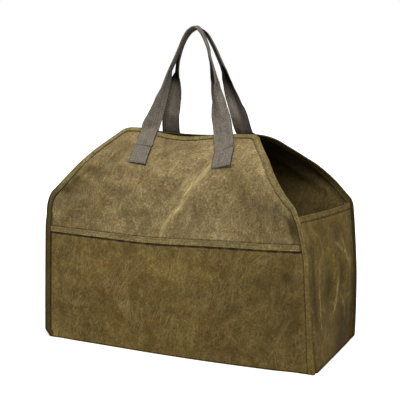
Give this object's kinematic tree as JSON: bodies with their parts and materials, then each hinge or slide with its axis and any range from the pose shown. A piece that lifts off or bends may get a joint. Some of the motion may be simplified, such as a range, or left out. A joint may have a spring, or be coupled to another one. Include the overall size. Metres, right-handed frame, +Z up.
{
  "type": "log carrier",
  "caption": "Waxed canvas firewood bag with sloping shoulders, low end walls, a full-width slip pocket, taped seams and folded webbing handles.",
  "frame": {"origin": "on the floor under the middle of the whole carrier", "axes": "+Z up, -Y is the pocket side, +X along the carrier's length"},
  "size_m": [0.5856, 0.2572, 0.6271],
  "materials": {
    "waxed_canvas": "waxed, mottled, pale at the creases",
    "binding_tape": "waxed canvas tape, folded and stitched",
    "webbing": "matt woven webbing"
  },
  "bodies": {
    "root": {"front_panel": "waxed_canvas", "back_panel": "waxed_canvas", "bottom_panel": "waxed_canvas", "front_pocket": "waxed_canvas", "end_panel_left": "waxed_canvas", "end_panel_right": "waxed_canvas", "front_binding": "binding_tape", "back_binding": "binding_tape", "pocket_binding": "binding_tape", "end_binding_left": "binding_tape", "end_binding_right": "binding_tape", "front_handle": "webbing", "back_handle": "webbing"}
  },
  "joints": []
}
